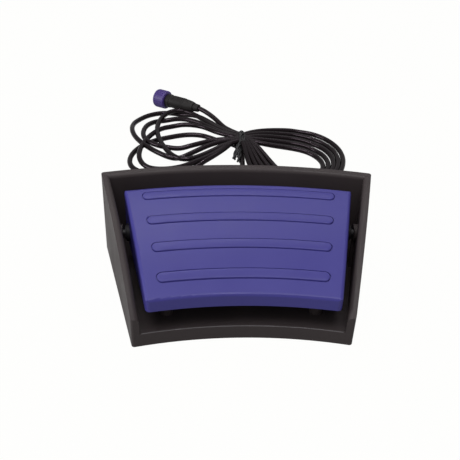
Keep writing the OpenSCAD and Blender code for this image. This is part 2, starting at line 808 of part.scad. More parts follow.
// from the wall to the hank, and from the tie to the connector's tail
entry_path = [[0, gland_y, entry_z], [0, gland_y + 20, entry_z], [0, gland_y + 36, entry_z],
  [0, 118, 20], [1, 127, 15], [3, 136, 9.5], [5, 145, 5], [8, 154, 2.8], [12, 163, 2.6],
  [17, 174, 2.6], [24, 187, 2.6]];
tail_path = [[11, 262, 5], [10, 270, 4.2], [7, 280, 3.2], [2, 290, 3.2], [-4, 298, 4.6],
  [-10.5, 303.3, 8], [-17, 306.8, 11.9], [-23.5, 310, 14.4], con_tail];

module cord_tube() {
  color([0.06, 0.06, 0.065])
  sweep(entry_path, cord_d/2 - 0.02, 8);
}

module cord_tail() {
  color([0.06, 0.06, 0.065])
  sweep(tail_path, cord_d/2 - 0.02, 8);
}

module hank() {
  color([0.05, 0.05, 0.055])
  difference() {
    union() {
      translate([0, 0, 1]) linear_extrude(hank_h - 1) hull() {
        translate([6, 256]) circle(r = 10);
        translate([30, 256]) circle(r = 10);
      }
      linear_extrude(hank_h) hull() {
        translate([-72, 286]) circle(r = 38);
        translate([-78, 222]) circle(r = 34);
        translate([-56, 200]) circle(r = 26);
        translate([4, 254]) circle(r = 9);
      }
      linear_extrude(hank_h) hull() {
        translate([96, 246]) circle(r = 36);
        translate([97, 208]) circle(r = 35);
        translate([70, 186]) circle(r = 31);
        translate([34, 190]) circle(r = 12);
        translate([32, 254]) circle(r = 10);
      }
    }
    translate([15, 200, -1]) cube([6, 100, 2]);
  }
}

module twist_tie() {
  color([0.04, 0.04, 0.04])
  translate([15, 245, 0]) difference() {
    cube([6, 22, hank_h + 1]);
    translate([-1, 1, 1]) cube([8, 20, hank_h - 1]);
  }
}

// ---- connector ----

module con_frame() {
  translate(con_tail) rotate([0, 0, con_a]) rotate([0, 90 + con_tilt, 0]) children();
}

module connector_body() {
  color([0.05, 0.05, 0.055])
  con_frame() {
    difference() {
      union() {
        cylinder(r1 = cord_d/2 + 1.4, r2 = cord_d/2 + 2.4, h = 6);
        translate([0, 0, 5]) cylinder(r1 = cord_d/2 + 2.9, r2 = grip_d/2 - 0.5, h = 9);
        translate([0, 0, 14]) cylinder(r = grip_d/2 - 0.5, h = grip_len - 14);
        translate([0, 0, 18]) cylinder(r = grip_d/2, h = 3);
        translate([0, 0, 24]) cylinder(r = grip_d/2, h = 3);
        translate([0, 0, 30]) cylinder(r = grip_d/2, h = 3);
        // shoulder that the coupling nut turns on
        translate([0, 0, grip_len - 1]) cylinder(r = nut_d/2 - 3.1, h = nut_len - 3);
      }
      // socket for the contact insert
      translate([0, 0, grip_len + 4]) cylinder(r = nut_d/2 - 5, h = 20);
    }
  }
}

module contact_insert() {
  color([0.2, 0.2, 0.21])
  con_frame() translate([0, 0, grip_len + 4]) difference() {
    cylinder(r = nut_d/2 - 5, h = 5);
    for (i = [0:3]) rotate([0, 0, 45 + i*90]) translate([3.4, 0, 1]) cylinder(r = 0.8, h = 9, $fn = 24);
  }
}

module contact_pins() {
  color([0.85, 0.7, 0.35])
  con_frame() for (i = [0:3]) rotate([0, 0, 45 + i*90]) translate([3.4, 0, grip_len + 5])
    cylinder(r = 0.8, h = 9, $fn = 24);
}

module coupling_nut() {
  color([0.2, 0.17, 0.5])
  con_frame() translate([0, 0, grip_len + 0.3]) difference() {
    union() {
      cylinder(r1 = nut_d/2 - 1.5, r2 = nut_d/2, h = 2);
      translate([0, 0, 2]) cylinder(r = nut_d/2, h = nut_len - 4);
      translate([0, 0, nut_len - 2]) cylinder(r1 = nut_d/2, r2 = nut_d/2 - 1, h = 2);
    }
    translate([0, 0, -1]) cylinder(r = nut_d/2 - 3.05, h = nut_len + 2);
    for (i = [0:17]) rotate([0, 0, i*20]) translate([nut_d/2 + 0.2, 0, 3])
      cylinder(r = 0.8, h = nut_len - 6, $fn = 16);
  }
}

housing();
bottom_cover();
cover_screws();
rubber_feet();
hinge_pins();
pin_clips();
hinge_bushings();
pedal();
actuator_screw();
actuator_locknut();
switch_case();
lever_pin();
switch_lever();
switch_plunger();
switch_terminals();
crimp_receptacles();
switch_bracket();
bracket_screws();
switch_screws();
switch_nuts();
return_springs();
stop_bumpers();
rest_pads();
cable_gland();
gland_nut();
strain_relief();
inner_cable();
cable_clamp();
clamp_screws();
lead_wires();
cord_tube();
cord_tail();
hank();
twist_tie();
connector_body();
contact_insert();
contact_pins();
coupling_nut();
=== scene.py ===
import json
import math
import bpy
import numpy as np
from mathutils import Matrix, Vector


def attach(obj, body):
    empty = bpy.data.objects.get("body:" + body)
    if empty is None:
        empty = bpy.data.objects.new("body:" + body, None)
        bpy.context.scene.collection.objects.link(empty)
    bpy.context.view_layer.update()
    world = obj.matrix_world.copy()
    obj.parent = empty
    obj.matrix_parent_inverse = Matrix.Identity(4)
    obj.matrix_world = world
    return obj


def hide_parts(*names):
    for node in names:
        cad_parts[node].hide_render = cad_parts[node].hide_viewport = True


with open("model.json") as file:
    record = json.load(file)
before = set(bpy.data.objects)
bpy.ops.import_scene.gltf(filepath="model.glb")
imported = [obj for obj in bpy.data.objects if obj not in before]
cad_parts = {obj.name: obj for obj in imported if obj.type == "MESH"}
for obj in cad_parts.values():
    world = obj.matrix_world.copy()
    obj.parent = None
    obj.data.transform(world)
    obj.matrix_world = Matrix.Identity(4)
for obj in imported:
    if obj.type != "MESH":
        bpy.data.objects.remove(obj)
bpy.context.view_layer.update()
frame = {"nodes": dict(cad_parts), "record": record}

nodes = frame["nodes"]

MM = 0.001

# ---------------------------------------------------------------- camera

CAMERA_PLACE = (-0.046904, -0.508614, 0.437296)
CAMERA_TURN = (math.radians(53.7356), math.radians(-2.0315), math.radians(-2.7783))
CAMERA_LENS = 59.215

bpy.ops.object.select_all(action="DESELECT")
bpy.ops.object.camera_add(location=CAMERA_PLACE, rotation=CAMERA_TURN)
camera = bpy.context.object
camera.name = "camera"
camera.data.sensor_width = 36
camera.data.lens = CAMERA_LENS
camera.data.clip_start = 0.01
bpy.context.scene.camera = camera
bpy.context.scene.view_settings.view_transform = "Standard"

# ---------------------------------------------------------------- making by hand


def only(obj):
    """Selects one object alone and makes it the active one."""
    bpy.ops.object.select_all(action="DESELECT")
    obj.select_set(True)
    bpy.context.view_layer.objects.active = obj
    return obj


def pick(obj, test):
    """In edit mode, selects the faces that pass the test."""
    bpy.ops.object.mode_set(mode="OBJECT")
    for item in list(obj.data.vertices) + list(obj.data.edges) + list(obj.data.polygons):
        item.select = False
    for face in obj.data.polygons:
        face.select = bool(test(face))
    bpy.ops.object.mode_set(mode="EDIT")
    bpy.ops.mesh.select_mode(type="FACE")


def turned(name, profile, sides):
    """A closed turned piece along +Z, drawn out and widened ring by ring: (radius, height)."""
    bpy.ops.object.select_all(action="DESELECT")
    radius, height = profile[0]
    bpy.ops.mesh.primitive_circle_add(
        vertices=sides, radius=radius * MM, fill_type="NGON", location=(0, 0, height * MM))
    obj = bpy.context.object
    obj.name = name
    bpy.ops.object.mode_set(mode="EDIT")
    for wide, high in profile[1:]:
        move = (0, 0, (high - height) * MM)
        bpy.ops.mesh.extrude_region_move(TRANSFORM_OT_translate={"value": move})
        grow = wide / radius
        bpy.ops.transform.resize(value=(grow, grow, 1), center_override=(0, 0, high * MM))
        radius, height = wide, high
    # the first ring is left open by the extrusion, and is closed here
    bpy.ops.mesh.select_mode(type="EDGE")
    bpy.ops.mesh.select_all(action="DESELECT")
    bpy.ops.mesh.select_non_manifold()
    bpy.ops.mesh.edge_face_add()
    bpy.ops.mesh.select_all(action="SELECT")
    bpy.ops.mesh.normals_make_consistent(inside=False)
    bpy.ops.object.mode_set(mode="OBJECT")
    bpy.ops.object.transform_apply(location=True, rotation=True, scale=True)
    return obj


def smooth(obj, angle):
    """Shades the piece smooth, apart from edges sharper than the angle in degrees."""
    only(obj)
    bpy.ops.object.shade_smooth_by_angle(angle=math.radians(angle))


def joined(name, pieces):
    """Several pieces as one object."""
    bpy.ops.object.select_all(action="DESELECT")
    for piece in pieces:
        piece.select_set(True)
    bpy.context.view_layer.objects.active = pieces[0]
    bpy.ops.object.join()
    pieces[0].name = name
    return pieces[0]


def copied(obj, matrix):
    """A copy with its own mesh, moved by the matrix."""
    twin = obj.copy()
    twin.data = obj.data.copy()
    bpy.context.scene.collection.objects.link(twin)
    twin.data.transform(matrix)
    return twin


def wire(name, points, radius, cyclic=False, roundness=2):
    """A round wire along the points, made a mesh."""
    curve = bpy.data.curves.new(name, "CURVE")
    curve.dimensions = "3D"
    curve.bevel_depth = radius * MM
    curve.bevel_resolution = roundness
    curve.use_fill_caps = True
    spline = curve.splines.new("POLY")
    spline.points.add(len(points) - 1)
    for point, place in zip(spline.points, points):
        point.co = (*[side * MM for side in place], 1)
    spline.use_smooth = True
    spline.use_cyclic_u = cyclic
    obj = bpy.data.objects.new(name, curve)
    bpy.context.scene.collection.objects.link(obj)
    only(obj)
    bpy.ops.object.convert(target="MESH")
    return bpy.context.object


# ---------------------------------------------------------------- the cord's route, in millimetres

CORD_D = 5.7
# where the cord leaves the tray, where the tie's middle is, and where the cord meets the connector
GLAND = (0, 73.339)
TIE = (18, 246)
CON_TAIL = (-29.5, 313.5, 14.9)
# the connector's heading and dip, in degrees
CON_TURN = 145.6
CON_TILT = 3.1

# from the wall to the hank
LEAD = [
    GLAND, (0, 92), (0, 109), (0.5, 125), (3, 141), (8, 157), (13, 173), (16, 190),
    (17, 208), (17.5, 228),
]
# the lead's height above the table along y
LEAD_HEIGHT = [
    (0, 22), (109, 22), (118, 20), (127, 15), (136, 9.5), (145, 5), (154, 3.3), (163, 3.2),
]
# left lobe of each turn of the hank, from the tie and back to it
LEFT_LOBES = [
    [(-9, 256), (-24, 268), (-44, 270), (-62, 264), (-82, 255), (-98, 240), (-107, 219),
     (-106, 199), (-95, 187), (-77, 181), (-56, 184), (-33, 197), (-11, 214)],
    [(-8, 259), (-24, 277), (-42, 284), (-62, 283), (-80, 268), (-92, 245), (-97, 222),
     (-96, 204), (-86, 192), (-68, 187), (-48, 193), (-28, 205), (-9, 220)],
    [(-7, 262), (-25, 285), (-48, 299), (-68, 303), (-84, 295), (-93, 277), (-95, 259),
     (-89, 244), (-77, 235), (-63, 230), (-48, 231), (-34, 236), (-14, 243)],
    [(-4, 269), (-18, 291), (-41, 314), (-69, 324), (-93, 315), (-106, 296), (-108, 272),
     (-102, 252), (-92, 237), (-79, 222), (-65, 211), (-50, 210), (-34, 222), (-14, 236)],
    [(-4, 265), (-18, 286), (-34, 309), (-52, 322), (-67, 315), (-76, 296), (-79, 274),
     (-76, 251), (-69, 230), (-60, 212), (-47, 203), (-32, 210), (-17, 220), (-3, 231)],
]
# outermost and innermost strand of the right lobe, and where each turn lies between them
RIGHT_OUTER = [
    (34, 264), (52, 274), (76, 279), (101, 275), (120, 259), (131, 233), (129, 204),
    (117, 179), (96, 163), (70, 157), (46, 163), (30, 179), (24, 198), (20, 226),
]
RIGHT_INNER = [
    (37, 237), (49, 236), (62, 236), (79, 235), (94, 229), (104, 216), (107, 201),
    (102, 187), (90, 177), (75, 175), (62, 181), (53, 193), (46, 208), (34, 231),
]
RIGHT_SHARE = [0, 0.25, 0.48, 0.74, 1]
# strands pass the tie in two layers, each strand in a lane across the layer's own direction
LOWER_LANE = [-5, -3, -1, 1, 3, 5]
UPPER_LANE = [5, 3, 1, -1, -3]
LOWER_ACROSS = (0.75, 0.66)
UPPER_ACROSS = (-0.5, 0.86)
LAYER_SHIFT = 2
# from the tie to the connector
TAIL = [(11, 258), (4, 270), (-3, 282), (-10, 294), (-19, 304.5), CON_TAIL[:2]]
# a strand of a higher rank lies on one of a lower rank
LEAD_RANK = 0
LOWER_RANK = 1
LOBE_RANK = 3
TAIL_RANK = 8
UPPER_RANK = 9

CORD_STEP = 2.5
PLAN_EASING = 22
HEIGHT_EASING = 8
# share of the cord's thickness at which a strand rests on another
TOUCH = 0.96
ABOVE_TABLE = 0.4
# how far and how high strands pile up about the tie, and how high in the lobes
PILE_REACH = 46
PILE_HIGH = 10
LEFT_LOBE_HIGH = 5.2
RIGHT_LOBE_HIGH = 0.5
# strands nearer than this along the cord don't cross, and a hump's top is level this far each way
SAME_STRAND = 4 * CORD_D
HUMP_LEVEL = 4
HUMP_SLOPE = 0.36
SETTLING_PASSES = 12
# how much of the cord keeps the lead's own heights, and how much of its end rises to the connector
LEAD_LEN = 115
RISE_TO_CONNECTOR = 48


def at_tie(lane, across, shift):
    """The point at which a strand passes the tie in its lane."""
    return (TIE[0] + lane * across[0], TIE[1] + shift + lane * across[1])


def cord_plan():
    """Plan points of the whole cord, each with the rank of its strand."""
    points = [(p, LEAD_RANK) for p in LEAD]
    for turn, lobe in enumerate(LEFT_LOBES):
        lower = at_tie(LOWER_LANE[turn], LOWER_ACROSS, LAYER_SHIFT)
        points.append((lower, LOWER_RANK + turn % 2))
        points += [(p, LOBE_RANK + turn) for p in lobe]
        upper = at_tie(UPPER_LANE[turn], UPPER_ACROSS, -LAYER_SHIFT)
        points.append((upper, UPPER_RANK + turn % 2))
        share = RIGHT_SHARE[turn]
        for a, b in zip(RIGHT_OUTER, RIGHT_INNER):
            between = (a[0] + (b[0] - a[0]) * share, a[1] + (b[1] - a[1]) * share)
            points.append((between, LOBE_RANK + turn))
    points.append((at_tie(LOWER_LANE[-1], LOWER_ACROSS, 0), LOWER_RANK))
    points += [(p, TAIL_RANK) for p in TAIL]
    return points


def through(points, samples=8):
    """A smooth line through the points, and the number of the span that each sample is on."""
    p = np.array(points, float)
    p = np.vstack([2 * p[0] - p[1], p, 2 * p[-1] - p[-2]])
    line, span = [], []
    for i in range(1, len(p) - 2):
        a, b, c, d = p[i - 1:i + 3]
        for t in np.arange(samples) / samples:
            line.append(0.5 * (2 * b + (c - a) * t + (2 * a - 5 * b + 4 * c - d) * t * t
                               + (3 * b - a - 3 * c + d) * t ** 3))
            span.append(i - 1)
    line.append(p[-2])
    span.append(len(p) - 3)
    return np.array(line), np.array(span)


def evenly(line, span, step):
    """The same line with its samples a step apart."""
    along = np.r_[0, np.cumsum(np.linalg.norm(np.diff(line, axis=0), axis=1))]
    at = np.linspace(0, along[-1], int(round(along[-1] / step)) + 1)
    owner = np.clip(np.searchsorted(along, at) - 1, 0, len(span) - 1)
    columns = [np.interp(at, along, line[:, k]) for k in range(line.shape[1])]
    return np.stack(columns, 1), span[owner]


def eased(line, passes, held=10):
    """Evens out tight bends; the first and last few samples stay."""
    count = len(line)
    free = np.minimum(1, np.minimum(np.arange(count), np.arange(count)[::-1]) / held)
    for _ in range(passes):
        middle = line.copy()
        middle[1:-1] = (line[:-2] + 2 * line[1:-1] + line[2:]) / 4
        line = line + (middle - line) * free[:, None]
    return line


def cord_line():
    """The cord's centreline: strands that cross lie on each other in long low humps."""
    plan = cord_plan()
    line, span = through([p for p, _ in plan])
    line, span = evenly(line, span, CORD_STEP)
    line, span = evenly(eased(line, PLAN_EASING), span, CORD_STEP)
    order = np.array([rank for _, rank in plan])[span]
    along = np.arange(len(line)) * CORD_STEP
    apart = np.linalg.norm(line[:, None] - line[None], axis=2)
    gap = np.abs(along[:, None] - along[None])
    close = (apart < CORD_D * TOUCH) & (gap > SAME_STRAND)
    later = (order[:, None] == order[None]) & (along[:, None] > along[None])
    lifted = close & ((order[:, None] > order[None]) | later)
    rise = np.sqrt(np.maximum(0, (CORD_D * TOUCH) ** 2 - apart ** 2))
    floor = CORD_D / 2 + ABOVE_TABLE
    near = np.exp(-(np.linalg.norm(line - np.array(TIE), axis=1) / PILE_REACH) ** 2)
    lobe_high = np.where(line[:, 0] < 0, LEFT_LOBE_HIGH, RIGHT_LOBE_HIGH)
    top = floor + PILE_HIGH * near + lobe_high * (1 - near)
    z = np.full(len(line), floor)
    for _ in range(SETTLING_PASSES):
        z = np.maximum(z, np.where(lifted, z[None] + rise, 0).max(1))
        z = np.minimum(z, top)
        slope = (z[None] - HUMP_SLOPE * np.maximum(0, gap - HUMP_LEVEL)).max(1)
        z = np.minimum(np.maximum(z, slope), top)
    lead = along < LEAD_LEN
    ys, hs = zip(*LEAD_HEIGHT)
    z[lead] = np.interp(line[lead, 1], ys, hs)
    z = eased(z[:, None], HEIGHT_EASING)[:, 0]
    left = np.clip((along[-1] - along) / RISE_TO_CONNECTOR, 0, 1)
    z = CON_TAIL[2] + (z - CON_TAIL[2]) * (left * left * (3 - 2 * left))
    return np.column_stack([line, z])


centreline = cord_line()
cord = wire("cord", centreline, CORD_D / 2, roundness=4)
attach(cord, "base")
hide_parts("cord_tube", "cord_tail", "hank")

# ---------------------------------------------------------------- shader groups

# the band that most of a noise texture lies in, and the scale of cloudy patches
NOISE_LOW = 0.35
NOISE_HIGH = 0.65
CLOUD_SCALE = 22.0


def group_of(name, inputs, outputs):
    """An empty shader group with its sockets, its input node and its output node."""
    tree = bpy.data.node_groups.new(name, "ShaderNodeTree")
    for label, kind, value in inputs:
        socket = tree.interface.new_socket(name=label, in_out="INPUT", socket_type=kind)
        socket.default_value = value
    for label, kind in outputs:
        tree.interface.new_socket(name=label, in_out="OUTPUT", socket_type=kind)
    return tree, tree.nodes.new("NodeGroupInput"), tree.nodes.new("NodeGroupOutput")


def noise(tree, scale, detail, rough):
    """A noise texture whose scale is a number or a socket."""
    node = tree.nodes.new("ShaderNodeTexNoise")
    node.inputs["Detail"].default_value = detail
    node.inputs["Roughness"].default_value = rough
    if not isinstance(scale, bpy.types.NodeSocket):
        node.inputs["Scale"].default_value = scale
    else:
        tree.links.new(scale, node.inputs["Scale"])
    return node


def spread(tree, value, low, high):
    """Stretches the noise's band to low..high, each a number or a socket."""
    node = tree.nodes.new("ShaderNodeMapRange")
    for label, end in (("To Min", low), ("To Max", high)):
        if isinstance(end, bpy.types.NodeSocket):
            tree.links.new(end, node.inputs[label])
        else:
            node.inputs[label].default_value = end
    tree.links.new(value, node.inputs["Value"])
    node.inputs["From Min"].default_value = NOISE_LOW
    node.inputs["From Max"].default_value = NOISE_HIGH
    return node.outputs["Result"]


def moulded_finish():
    """A group with fine moulded grain, uneven gloss and a faint cloudiness in the colour."""
    tree, given, out = group_of(
        "moulded finish",
        [("Color", "NodeSocketColor", (0.5, 0.5, 0.5, 1)), ("Grain", "NodeSocketFloat", 1500.0),
         ("Gloss Low", "NodeSocketFloat", 0.4), ("Gloss High", "NodeSocketFloat", 0.5),
         ("Cloud", "NodeSocketFloat", 0.06)],
        [("Color", "NodeSocketColor"), ("Roughness", "NodeSocketFloat"), ("Height", "NodeSocketFloat")])
    place = tree.nodes.new("ShaderNodeTexCoord").outputs["Object"]
    grain = noise(tree, given.outputs["Grain"], 3.0, 0.6)
    broad = noise(tree, CLOUD_SCALE, 4.0, 0.6)
    for node in (grain, broad):
        tree.links.new(place, node.inputs["Vector"])
    rough = spread(tree, broad.outputs["Fac"], given.outputs["Gloss Low"], given.outputs["Gloss High"])
    tree.links.new(rough, out.inputs["Roughness"])
    tree.links.new(grain.outputs["Fac"], out.inputs["Height"])
    darker = tree.nodes.new("ShaderNodeMath")
    darker.operation = "SUBTRACT"
    darker.inputs[0].default_value = 1.0
    tree.links.new(given.outputs["Cloud"], darker.inputs[1])
    shade = spread(tree, broad.outputs["Fac"], darker.outputs[0], 1.0)
    scaled = tree.nodes.new("ShaderNodeVectorMath")
    scaled.operation = "SCALE"
    tree.links.new(given.outputs["Color"], scaled.inputs[0])
    tree.links.new(shade, scaled.inputs["Scale"])
    tree.links.new(scaled.outputs[0], out.inputs["Color"])
    return tree


MOULDED = moulded_finish()


def finish_of(name, color, gloss, grain, depth, cloud=0.06, **sockets):
    """A material with the moulded finish; sockets are set on the shader itself."""
    mat = bpy.data.materials.new(name)
    mat.use_nodes = True
    tree = mat.node_tree
    shader = tree.nodes["Principled BSDF"]
    group = tree.nodes.new("ShaderNodeGroup")
    group.node_tree = MOULDED
    group.inputs["Color"].default_value = (*color, 1)
    group.inputs["Grain"].default_value = grain
    group.inputs["Gloss Low"].default_value = gloss[0]
    group.inputs["Gloss High"].default_value = gloss[1]
    group.inputs["Cloud"].default_value = cloud
    bump = tree.nodes.new("ShaderNodeBump")
    bump.inputs["Distance"].default_value = depth
    tree.links.new(group.outputs["Height"], bump.inputs["Height"])
    tree.links.new(group.outputs["Color"], shader.inputs["Base Color"])
    tree.links.new(group.outputs["Roughness"], shader.inputs["Roughness"])
    tree.links.new(bump.outputs["Normal"], shader.inputs["Normal"])
    for label, value in sockets.items():
        shader.inputs[label.replace("_", " ")].default_value = value
    mat.diffuse_color = (*color, 1)
    return mat


BLACK_TRAY = finish_of(
    "black tray plastic", (0.046, 0.037, 0.038), gloss=(0.4, 0.52), grain=2200.0, depth=0.00004,
    Specular_IOR_Level=0.2)
BLUE_PEDAL = finish_of(
    "blue pedal plastic", (0.045, 0.0395, 0.222), gloss=(0.34, 0.42), grain=2600.0, depth=0.00002,
    cloud=0.04, Specular_IOR_Level=0.32)
RUBBER = finish_of(
    "black rubber", (0.009, 0.009, 0.0095), gloss=(0.7, 0.85), grain=900.0, depth=0.00006,
    cloud=0.15, Specular_IOR_Level=0.2)
CORD_PVC = finish_of(
    "glossy cord jacket", (0.0055, 0.0038, 0.004), gloss=(0.14, 0.22), grain=500.0, depth=0.00002,
    cloud=0.1, Specular_IOR_Level=0.28, Specular_Tint=(1.0, 0.8, 0.95, 1.0))
WIRE_PVC = finish_of("wire jacket", (0.25, 0.03, 0.03), gloss=(0.3, 0.4), grain=900.0, depth=0.00001)
NYLON = finish_of("natural nylon", (0.62, 0.6, 0.54), gloss=(0.35, 0.45), grain=900.0, depth=0.00001)
SWITCH_BODY = finish_of(
    "switch case plastic", (0.03, 0.03, 0.033), gloss=(0.4, 0.5), grain=1800.0, depth=0.00002)
PLUNGER_RED = finish_of(
    "plunger plastic", (0.45, 0.04, 0.03), gloss=(0.3, 0.4), grain=1200.0, depth=0.00001)
TIE_WIRE = finish_of(
    "coated tie wire", (0.012, 0.012, 0.013), gloss=(0.4, 0.55), grain=900.0, depth=0.00005,
    cloud=0.2)
GRIP_BLACK = finish_of(
    "connector grip plastic", (0.011, 0.009, 0.009), gloss=(0.45, 0.6), grain=900.0, depth=0.00012,
    cloud=0.12, Specular_IOR_Level=0.3)
NUT_BLUE = finish_of(
    "coupling nut plastic", (0.063, 0.035, 0.2), gloss=(0.38, 0.48), grain=2000.0, depth=0.00003,
    cloud=0.08)
SCREW_STEEL = finish_of(
    "screw steel", (0.55, 0.55, 0.56), gloss=(0.25, 0.4), grain=1400.0, depth=0.00001, cloud=0.1,
    Metallic=1.0)
PIN_STEEL = finish_of(
    "ground pin steel", (0.62, 0.62, 0.64), gloss=(0.16, 0.26), grain=3000.0, depth=0.000004,
    cloud=0.05, Metallic=1.0)
SPRING_STEEL = finish_of(
    "spring steel", (0.42, 0.42, 0.43), gloss=(0.28, 0.4), grain=1600.0, depth=0.00001, cloud=0.1,
    Metallic=1.0)
ZINC_STEEL = finish_of(
    "zinc plated steel", (0.6, 0.61, 0.62), gloss=(0.3, 0.5), grain=500.0, depth=0.00001,
    cloud=0.15, Metallic=1.0)
BRASS = finish_of(
    "contact brass", (0.72, 0.55, 0.26), gloss=(0.2, 0.35), grain=1500.0, depth=0.00001, cloud=0.1,
    Metallic=1.0)

FINISHES = {
    "black_plastic": BLACK_TRAY, "blue_plastic": BLUE_PEDAL, "rubber": RUBBER,
    "screw_steel": SCREW_STEEL, "pin_steel": PIN_STEEL, "spring_steel": SPRING_STEEL,
    "zinc_steel": ZINC_STEEL, "nylon": NYLON, "switch_plastic": SWITCH_BODY,
    "plunger_plastic": PLUNGER_RED, "contact_brass": BRASS, "gland_plastic": SWITCH_BODY,
    "wire_jacket": WIRE_PVC, "cord_jacket": CORD_PVC, "tie_plastic": TIE_WIRE,
    "connector_black": GRIP_BLACK, "connector_blue": NUT_BLUE,
}


def dress(obj, mat):
    """Gives the piece this one material."""
    obj.data.materials.clear()
    obj.data.materials.append(mat)


for part in frame["record"]["subparts"]:
    finish = FINISHES[part["material_slot"]]
    slots = nodes[part["node"]].material_slots
    for spot in slots:
        spot.material = finish
    if not slots:
        nodes[part["node"]].data.materials.append(finish)

dress(cord, CORD_PVC)

# the pin, its bushing and its clip sit in the dark gap beside the pedal; their near-black colours are
# painted shade, not the colours of nylon and steel
PAINTED_SHADE_NYLON = finish_of(
    "nylon in painted shade", (0.012, 0.011, 0.013), gloss=(0.5, 0.6), grain=900.0, depth=0.00001,
    Specular_IOR_Level=0.2)
PAINTED_SHADE_STEEL = finish_of(
    "pin steel in painted shade", (0.035, 0.033, 0.036), gloss=(0.4, 0.5), grain=1600.0, depth=0.00001,
    cloud=0.1, Specular_IOR_Level=0.3)
# near-black painted shade on the hinge's bushings, pins and clips
for name, mat in (("hinge_bushings", PAINTED_SHADE_NYLON), ("hinge_pins", PAINTED_SHADE_STEEL), ("pin_clips", PAINTED_SHADE_STEEL)):
    for spot in nodes[name].material_slots:
        spot.material = mat

# ---------------------------------------------------------------- grip treads on the pedal

# the centre of all arcs in plan, and the tray's back from it
ARC_CENTRE_Y = -456.161
BACK_R = 530
# the pedal's upper face is an arc in side view too, highest at the pedal's back edge
TOP_ARC_R = 526
TOP_CENTRE_R = 586
PEDAL_BACK_R = 505
PEDAL_HIGH = 78.2
TOP_CENTRE_Z = PEDAL_HIGH - math.sqrt(TOP_ARC_R ** 2 - (TOP_CENTRE_R - PEDAL_BACK_R) ** 2)
# the treads, from the tray's back, and their foot in the pedal's recess
TREAD_COUNT = 4
TREAD_START = 36.1
TREAD_PITCH = 27.7
TREAD_HALF_W = 4.05
TREAD_HALF_A = math.radians(9.7)
TREAD_END_GAP = 1.5
TREAD_FOOT = -0.95
TREAD_PROUD = 0.7
TREAD_ROUND = 0.7
TREAD_CUTS = 44


def on_arc(radius, angle):
    """Plan point at a distance and an angle from the centre of the arcs."""
    return radius * math.sin(angle), ARC_CENTRE_Y + radius * math.cos(angle)


def pedal_top(r):
    """Height of the pedal's upper face at a distance from the arc's centre."""
    return TOP_CENTRE_Z + math.sqrt(TOP_ARC_R ** 2 - (TOP_CENTRE_R - r) ** 2)


def straight_tread(length):
    """A straight bar with round ends and a rounded upper rim, about the origin, in metres."""
    bpy.ops.object.select_all(action="DESELECT")
    bpy.ops.mesh.primitive_circle_add(vertices=48, radius=TREAD_HALF_W * MM, fill_type="NGON")
    bar = bpy.context.object
    bpy.ops.object.transform_apply(location=True, rotation=True, scale=True)
    reach = (length / 2 - TREAD_HALF_W) * MM
    for side in (-1, 1):
        bpy.ops.object.mode_set(mode="OBJECT")
        for item in list(bar.data.edges) + list(bar.data.polygons):
            item.select = False
        for vert in bar.data.vertices:
            vert.select = vert.co.x * side > 1e-6
        bpy.ops.object.mode_set(mode="EDIT")
        bpy.ops.mesh.select_mode(type="VERT")
        bpy.ops.transform.translate(value=(side * reach, 0, 0))
    bpy.ops.mesh.select_all(action="SELECT")
    bpy.ops.transform.translate(value=(0, 0, TREAD_FOOT * MM))
    up = (0, 0, (TREAD_PROUD - TREAD_FOOT) * MM)
    bpy.ops.mesh.extrude_region_move(TRANSFORM_OT_translate={"value": up})
    bpy.ops.mesh.region_to_loop()
    bpy.ops.mesh.bevel(offset=TREAD_ROUND * MM, segments=4, affect="EDGES")
    bpy.ops.mesh.select_all(action="SELECT")
    bpy.ops.mesh.normals_make_consistent(inside=False)
    for k in range(1, TREAD_CUTS):
        bpy.ops.mesh.select_all(action="SELECT")
        place = (-reach + 2 * reach * k / TREAD_CUTS, 0, 0)
        bpy.ops.mesh.bisect(plane_co=place, plane_no=(1, 0, 0))
    bpy.ops.object.mode_set(mode="OBJECT")
    return bar


def bent_tread(number):
    """Bends a straight bar round the pedal's arc and sets it in its recess in the pedal."""
    r = BACK_R - TREAD_START - number * TREAD_PITCH
    bar = straight_tread(2 * r * TREAD_HALF_A - TREAD_END_GAP)
    bar.name = f"grip_tread_{number + 1}"
    for vert in bar.data.vertices:
        sideways, across, high = vert.co / MM
        angle = sideways / r
        radius = r + across
        x, y = on_arc(radius, angle)
        vert.co = Vector((x, y, pedal_top(radius) + high)) * MM
    dress(bar, BLUE_PEDAL)
    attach(bar, "treadle")
    smooth(bar, 40)


for number in range(TREAD_COUNT):
    bent_tread(number)

# ---------------------------------------------------------------- dark sleeves on the hinge bosses, painted shade over their blue ends

# the hinge's axis, and the closed end of each sleeve, just off the end of the boss
HINGE_Y = 15.27
HINGE_Z = 50
SLEEVE_X = 95.85
SLEEVE_OUT = 7.6
SLEEVE_IN = 7.2
SLEEVE_LEN = 8.0
SLEEVE_END_R = 4.75


def boss_shade_sleeve(side):
    """A short black sleeve over a hinge boss, closed round the pin, that paints shade over the boss's
    blue end.
    """
    sleeve = turned("hinge_shade_sleeve", [
        (SLEEVE_END_R, -0.1), (SLEEVE_OUT - 0.25, -0.1), (SLEEVE_OUT, 0.15), (SLEEVE_OUT, SLEEVE_LEN),
        (SLEEVE_IN, SLEEVE_LEN), (SLEEVE_IN, 0.4), (SLEEVE_END_R, 0.4),
    ], sides=40)
    place = Matrix.Translation(Vector((side * SLEEVE_X, HINGE_Y, HINGE_Z)) * MM)
    sleeve.data.transform(place @ Matrix.Rotation(math.radians(-90 * side), 4, "Y"))
    return sleeve


shade_sleeves = joined("hinge_shade_sleeves", [boss_shade_sleeve(-1), boss_shade_sleeve(1)])
# the sleeves are near black as painted shade in the gap beside the pedal
dress(shade_sleeves, PAINTED_SHADE_NYLON)
smooth(shade_sleeves, 35)
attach(shade_sleeves, "treadle")

# ---------------------------------------------------------------- connector on the cord's end

